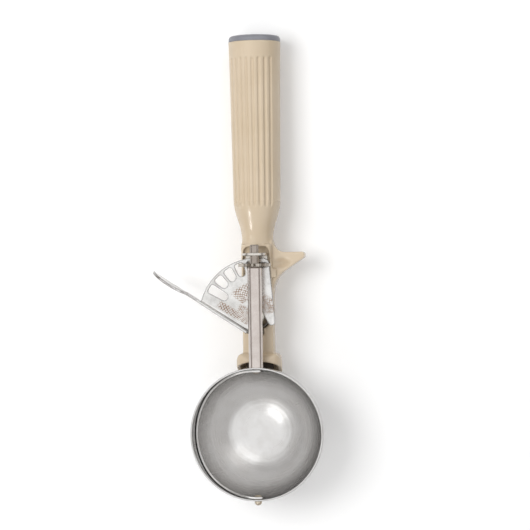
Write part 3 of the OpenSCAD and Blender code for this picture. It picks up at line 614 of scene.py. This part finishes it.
# %% [markdown]
# ## The return spring
#
# The spring is one length of round wire: a short radial leg inside, two turns round the pivot, a leg that
# runs out again and a tip that is bent up through the floor of the recess. Its middle line follows a rule,
# so Geometry Nodes can draw it from a straight line: along the wire, the distance from the pivot, the angle
# and the height each follow a ramp. A circle is then swept along the line.


# %% A tree's inputs and output
def new_tree(name, inputs):
    """A Geometry Nodes tree with these named inputs: name -> (socket type, value)."""
    tree = bpy.data.node_groups.new(name, "GeometryNodeTree")
    tree.interface.new_socket(name="Geometry", in_out="INPUT", socket_type="NodeSocketGeometry")
    for label, (kind, value) in inputs.items():
        socket = tree.interface.new_socket(name=label, in_out="INPUT", socket_type=kind)
        socket.default_value = value
    tree.interface.new_socket(name="Geometry", in_out="OUTPUT", socket_type="NodeSocketGeometry")
    return tree, add(tree, "NodeGroupInput").outputs, add(tree, "NodeGroupOutput")


def grown_piece(name, tree, values):
    """An object whose mesh the tree makes; each input is set by its socket's identifier."""
    piece = bpy.data.objects.new(name, bpy.data.meshes.new(name))
    bpy.context.scene.collection.objects.link(piece)
    maker = piece.modifiers.new("maker", "NODES")
    maker.node_group = tree
    for socket in tree.interface.items_tree:
        if socket.in_out == "INPUT" and socket.name in values:
            maker[socket.identifier] = values[socket.name]
    settle(piece)
    return piece


# %% The spring's tree
LENGTH = "NodeSocketFloat"
wire_tree, wire_in, wire_out = new_tree("coiled_wire", {
    "Wire radius": (LENGTH, 0.5), "Inner leg": (LENGTH, 3.0), "Coil radius": (LENGTH, 6.0),
    "Outer leg": (LENGTH, 9.0), "Turns": (LENGTH, 2.0), "Start angle": (LENGTH, 0.0),
    "Coil height": (LENGTH, 3.0), "Tip height": (LENGTH, 1.5), "Finish": ("NodeSocketMaterial", None)})
where = add(wire_tree, "GeometryNodeSplineParameter")
to_coil = add(wire_tree, "ShaderNodeMath", wire_in["Coil radius"], wire_in["Inner leg"], operation="SUBTRACT")
to_leg = add(wire_tree, "ShaderNodeMath", wire_in["Outer leg"], wire_in["Coil radius"], operation="SUBTRACT")
turning = add(wire_tree, "ShaderNodeMath", wire_in["Turns"], 2 * math.pi, operation="MULTIPLY")
ramps = {  # where on the wire, from 0 to 1, each starts and stops, what it grows to, and how
    "to coil": (0.0, 0.045, to_coil, "SMOOTHSTEP"),
    "to leg": (0.925, 0.97, to_leg, "SMOOTHSTEP"),
    "turn": (0.022, 0.945, turning, "LINEAR"),
    "climb": (0.03, 0.93, wire_in["Coil height"], "LINEAR"),
    "tip": (0.965, 1.0, wire_in["Tip height"], "SMOOTHSTEP"),
}
grown = {label: add(wire_tree, "ShaderNodeMapRange", where, start, stop, 0.0, amount, interpolation_type=how)
         for label, (start, stop, amount, how) in ramps.items()}
print("the wire follows", len(ramps), "ramps")

# %% From ramps to a swept wire
reach = wire_in["Inner leg"]
for label in ("to coil", "to leg"):
    reach = add(wire_tree, "ShaderNodeMath", reach, grown[label], operation="ADD")
angle = add(wire_tree, "ShaderNodeMath", wire_in["Start angle"], grown["turn"], operation="ADD")
rise = add(wire_tree, "ShaderNodeMath", grown["climb"], grown["tip"], operation="ADD")
outwards = add(wire_tree, "ShaderNodeCombineXYZ", reach, 0.0, rise)
point = add(wire_tree, "ShaderNodeVectorRotate", {"Vector": outwards, "Angle": angle}, rotation_type="Z_AXIS")
straight = add(wire_tree, "GeometryNodeCurvePrimitiveLine")
fine = add(wire_tree, "GeometryNodeResampleCurve", {"Curve": straight, "Count": 360})
bent = add(wire_tree, "GeometryNodeSetPosition", {"Geometry": fine, "Position": point})
section = add(wire_tree, "GeometryNodeCurvePrimitiveCircle",
              {"Resolution": 16, "Radius": wire_in["Wire radius"]})
swept = add(wire_tree, "GeometryNodeCurveToMesh",
            {"Curve": bent, "Profile Curve": section, "Fill Caps": True})
plain = add(wire_tree, "GeometryNodeRealizeInstances", swept)
dressed = add(wire_tree, "GeometryNodeSetMaterial", {"Geometry": plain, "Material": wire_in["Finish"]})
wire_tree.links.new(dressed.outputs[0], wire_out.inputs[0])
print(len(wire_tree.nodes), "nodes wind the wire")

# %% [markdown]
# ## Winding the spring
#
# The sizes below are those of the solid spring, in millimetres, and the finished wire is scaled and moved
# into its mesh, so the object itself stays at the origin. The solid spring is then hidden: it has eight
# flat sides, and the swept one is round.
#
# The inner leg at the bottom sits in the bush and turns with the lever. The outer leg at the top rests on the
# handle.

# %% The spring's wire
spring_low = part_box("return_spring")[0]
wire, coil_height = 1.1, 2.7
spring_wire = grown_piece("spring_wire", wire_tree, {
    "Wire radius": wire / 2, "Inner leg": 2.9, "Coil radius": 5.9, "Outer leg": 8.9, "Turns": 2.0,
    "Start angle": math.radians(-74.5), "Coil height": coil_height, "Tip height": 1.15,
    "Finish": wire_steel})
spring_wire.data.transform(Matrix.Translation((pivot.x, pivot.y, spring_low.z + wire / 2 * MM))
                           @ Matrix.Scale(MM, 4))
spring_wire.data.shade_smooth()
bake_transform(spring_wire)
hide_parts("return_spring")
print("spring wire", len(spring_wire.data.polygons), "faces of", spring_wire.data.materials[0].name)

# %% [markdown]
# ## The floor
#
# The scoop lies on its back, so two places touch the floor: the bottom of the bowl and the end of the grip.
# It has rolled a few degrees towards its heavier lever side. The floor is put where that leaves it: its
# normal leans by the roll, and the pitch is found by asking that the floor touches both the bowl's ball and
# the grip's end circle. A few rounds of the same sum settle it.

# %% Where the floor lies
roll = math.radians(7.3)
cap_low, cap_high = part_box("end_cap")
grip_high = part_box("handle")[1]
grip_radius = (cap_high.x - cap_low.x) / 2
grip_end = Vector((shaft_axis.x, grip_high.y, (cap_low.z + cap_high.z) / 2))
pitch = 0.0
for _ in range(6):
    lift = (bowl_radius - grip_radius * math.cos(pitch)
            - (bowl_centre.z - grip_end.z) * math.cos(roll) * math.cos(pitch))
    pitch = math.asin(lift / (grip_end.y - bowl_centre.y))
up = Vector((math.sin(roll) * math.cos(pitch), -math.sin(pitch), math.cos(roll) * math.cos(pitch)))
height = up.dot(bowl_centre) - bowl_radius
print("floor pitched", round(math.degrees(pitch), 2), "degrees")

# %% [markdown]
# ## A pale floor
#
# The floor is matt and nearly white. It keeps the soft shadow of the tool, and rays from the camera,
# reflections and glass get a little extra light from it, so that it reads as a white studio floor.


# %% The floor's finish
floor_glow = 0.07  # extra light for what looks at the floor, as a share of white


def seen_directly(tree):
    """1 for rays from the camera, a reflection or glass, and 0 for rays that only gather light."""
    ray = add(tree, "ShaderNodeLightPath").outputs
    mirrored = add(tree, "ShaderNodeMath", ray["Is Glossy Ray"], ray["Is Transmission Ray"],
                   operation="MAXIMUM")
    return add(tree, "ShaderNodeMath", ray["Is Camera Ray"], mirrored, operation="MAXIMUM")


floor_finish, floor_tree, floor_shader = start_finish("matt_white_floor", 0.9)
floor_shader.inputs["Specular IOR Level"].default_value = 0.1
floor_shader.inputs["Base Color"].default_value = linear("#F8F8F8")
glow = add(floor_tree, "ShaderNodeEmission", (1, 1, 1, 1), add(
    floor_tree, "ShaderNodeMath", seen_directly(floor_tree), floor_glow, operation="MULTIPLY"))
both = add(floor_tree, "ShaderNodeAddShader", floor_shader, glow)
floor_tree.links.new(both.outputs[0], floor_tree.nodes["Material Output"].inputs["Surface"])
print("floor finish", floor_finish.name)

# %% The floor's sheet
across = up.cross(Vector((0, 1, 0))).normalized()
along = up.cross(across)
floor_mesh = bpy.data.meshes.new("floor")
half = 6.0  # metres, so that only a low camera sees its edge
floor_mesh.from_pydata([up * height + across * (x * half) + along * (y * half)
                        for x, y in ((-1, -1), (1, -1), (1, 1), (-1, 1))], [], [(0, 1, 2, 3)])
floor_mesh.materials.append(floor_finish)
floor = bpy.data.objects.new("floor", floor_mesh)
bpy.context.scene.collection.objects.link(floor)
print("floor", 2 * half, "m wide")

# %% [markdown]
# ## Where things stand in the picture
#
# The camera looks almost straight down on the floor. Lamps are easier to place in the picture's own terms,
# so its three directions come first: to the right, up the handle and towards the viewer.

# %% The picture's directions
look_at = Vector((14.8, 2.2, 33.4)) * MM
towards_viewer = Vector((math.sin(roll), 0, math.cos(roll)))
lean = math.radians(0.95)
level_right = Vector((0, 1, 0)).cross(towards_viewer)
picture_up = Vector((0, 1, 0)) * math.cos(lean) + level_right * math.sin(lean)
picture_right = picture_up.cross(towards_viewer)
print("the picture's up leans", round(math.degrees(lean), 2), "degrees from the handle")

# %% [markdown]
# ## Light
#
# Bright steel shows the room more than itself. The room here is a plain studio: light overhead, greyer and a
# little warmer towards the horizon, which gives the bowl its darker rim. For rays that only gather light the
# room is dimmer than the reflections see it, so that the shadow of the lamps stays visible. The camera itself
# sees it at a strength of 1, as a slightly warm white past the floor's edge.

# %% The room
low_light, high_light = 0.27, 1.20   # strength of the room near the horizon and overhead
dark_below, full_above = 0.10, 0.62  # heights between which it grows: 0 is the horizon, 1 straight above
gathered = 0.57                      # the share of it that lights the pieces
room = bpy.data.worlds.new("studio")
bpy.context.scene.world = room
room.use_nodes = True
room_tree = room.node_tree
room_tree.nodes.clear()
facing = add(room_tree, "ShaderNodeTexCoord").outputs["Generated"]
height_up = add(room_tree, "ShaderNodeVectorMath", facing, tuple(towards_viewer), operation="DOT_PRODUCT")
shade = add(room_tree, "ShaderNodeMapRange", height_up, dark_below, full_above, low_light, high_light,
            interpolation_type="SMOOTHSTEP")
dimmed = add(room_tree, "ShaderNodeMapRange", seen_directly(room_tree), 0.0, 1.0, gathered, 1.0)
brightness = add(room_tree, "ShaderNodeMath", shade, dimmed, operation="MULTIPLY")
warmth = add(room_tree, "ShaderNodeMix", shade, linear("#FFF1E6"), (1, 1, 1, 1), data_type="RGBA")
camera_ray = add(room_tree, "ShaderNodeLightPath").outputs["Is Camera Ray"]
strength = add(room_tree, "ShaderNodeMix", camera_ray, brightness, 1.0)
air = add(room_tree, "ShaderNodeBackground", warmth, strength)
add(room_tree, "ShaderNodeOutputWorld", air)
print("room", low_light, "at the horizon,", high_light, "overhead")

# %% [markdown]
# ## Soft lamps
#
# An area lamp is a softbox. It always faces the middle of the tool. The key lamp stands high on the lever's
# side and makes the soft shadow on the hook's side; reflections don't see it, as if it were flagged off from
# the steel. The two others stand lower, and the bowl shows them as its two soft lights. A small fourth lamp
# only draws the glint on the polished neck: it is linked to the handle alone and gives no other light.


# %% Lamps
lamp_distance = 1.1  # metres from the middle of the tool


def softbox(name, off_zenith, round_from_right, size, watts, in_reflections=True):
    """Angles in degrees: how far from straight above, and where round the picture, 90 being up the handle."""
    lamp = bpy.data.lights.new(name, "AREA")
    lamp.size = size
    lamp.energy = watts
    stand = bpy.data.objects.new(name, lamp)
    stand.visible_glossy = in_reflections
    down, turn = math.radians(off_zenith), math.radians(round_from_right)
    way = (towards_viewer * math.cos(down)
           + (picture_right * math.cos(turn) + picture_up * math.sin(turn)) * math.sin(down))
    stand.location = look_at + way * lamp_distance
    stand.rotation_euler = way.to_track_quat("Z", "Y").to_euler()
    bpy.context.scene.collection.objects.link(stand)
    return stand


softbox("key_softbox", 31, 168, 0.55, 6.2, in_reflections=False)
softbox("lever_side_softbox", 57, 229, 0.6, 1.3)
softbox("hook_side_softbox", 57, 62, 1.0, 1.5)

glint = softbox("neck_glint_lamp", 51, 215, 0.18, 0.95)
glint.visible_diffuse = False
only_handle = bpy.data.collections.new("lit_by_glint")
only_handle.objects.link(handle_skin)
glint.light_linking.receiver_collection = only_handle
print(len(bpy.data.lights), "lamps")

# %% [markdown]
# ## The camera
#
# The camera looks almost straight down on the floor from a little over a metre, so the tool shows little
# perspective.

# %% Camera
camera_distance = 1.125  # metres from the middle of the tool
view = bpy.data.cameras.new("camera")
view.angle = math.radians(13.4)
view.clip_end = 20
camera = bpy.data.objects.new("camera", view)
camera.matrix_world = (Matrix.Translation(look_at + towards_viewer * camera_distance)
                       @ Matrix((picture_right, picture_up, towards_viewer)).transposed().to_4x4())
bpy.context.scene.collection.objects.link(camera)
bpy.context.scene.camera = camera
bpy.context.scene.view_settings.view_transform = "Standard"
print("camera", camera_distance, "m away,", round(math.degrees(view.angle), 1), "degrees wide")
